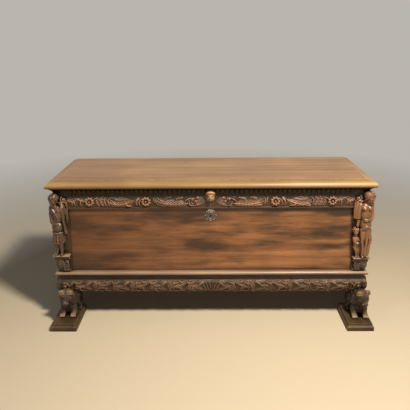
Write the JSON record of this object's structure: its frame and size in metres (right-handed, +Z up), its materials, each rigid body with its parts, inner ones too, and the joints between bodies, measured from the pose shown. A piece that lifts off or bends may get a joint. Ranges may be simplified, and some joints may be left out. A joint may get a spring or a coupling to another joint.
{
  "type": "cassone",
  "caption": "Carved walnut marriage chest with a hinged moulded lid, plain panelled front, carved friezes, corner figures, a mask over its lock, and crouching lions for front feet.",
  "frame": {"origin": "on the floor, under the middle of the whole chest", "axes": "+X along the front to the right as seen from the front, +Y to the back, +Z up"},
  "size_m": [1.62, 0.5885, 0.7465],
  "materials": {
    "lid_wood": "waxed, golden on the worn edge",
    "panel_wood": "waxed, streaky grain",
    "frame_wood": "waxed",
    "moulding_wood": "waxed, pale where worn",
    "carved_wood": "waxed, dark in the recesses",
    "foot_wood": "waxed, dark",
    "inner_wood": "bare, aged",
    "iron": "forged, dark, half matt"
  },
  "bodies": {
    "chest": {"front_panel": "panel_wood", "left_end_panel": "panel_wood", "right_end_panel": "panel_wood", "back_panel": "panel_wood", "front_left_post": "frame_wood", "front_right_post": "frame_wood", "rear_left_post": "frame_wood", "rear_right_post": "frame_wood", "back_rail": "frame_wood", "lower_rail_rear": "frame_wood", "sill_rail_rear": "frame_wood", "base_moulding_front": "moulding_wood", "base_moulding_left": "moulding_wood", "base_moulding_right": "moulding_wood", "upper_frieze_front": "carved_wood", "upper_frieze_left": "carved_wood", "upper_frieze_right": "carved_wood", "cornice_front": "carved_wood", "cornice_left": "carved_wood", "cornice_right": "carved_wood", "lower_frieze_front": "carved_wood", "lower_frieze_left": "carved_wood", "lower_frieze_right": "carved_wood", "left_console": "carved_wood", "right_console": "carved_wood", "left_figure": "carved_wood", "right_figure": "carved_wood", "mask_head": "carved_wood", "front_left_lion": "foot_wood", "front_right_lion": "foot_wood", "front_left_plinth": "foot_wood", "front_right_plinth": "foot_wood", "rear_left_plinth": "foot_wood", "rear_right_plinth": "foot_wood", "rear_left_foot": "foot_wood", "rear_right_foot": "foot_wood", "floor_boards": "inner_wood", "floor_bearers": "inner_wood", "scutcheon": "iron", "lock_case": "iron", "hinge_leaf_left": "iron", "hinge_leaf_right": "iron", "hinge_pin_left": "iron", "hinge_pin_right": "iron", "leaf_nails": "iron"},
    "lid": {"lid_front_board": "lid_wood", "lid_rear_board": "lid_wood", "lid_moulding_front": "lid_wood", "lid_moulding_left": "lid_wood", "lid_moulding_right": "lid_wood", "lid_batten_left": "inner_wood", "lid_batten_right": "inner_wood", "hinge_strap_left": "iron", "hinge_strap_right": "iron", "strap_nails": "iron", "lock_hasp": "iron"},
    "bolt": {"lock_bolt": "iron"}
  },
  "joints": [
    {"name": "lid_hinge", "type": "hinge", "parent": "chest", "child": "lid", "pos_m": [0, 0.28775, 0.7085], "axis": [-1, 0, 0], "range_deg": [0, 100]},
    {"name": "lock_bolt_slide", "type": "slide", "parent": "chest", "child": "bolt", "axis": [-1, 0, 0], "range_m": [0, 0.012]}
  ]
}
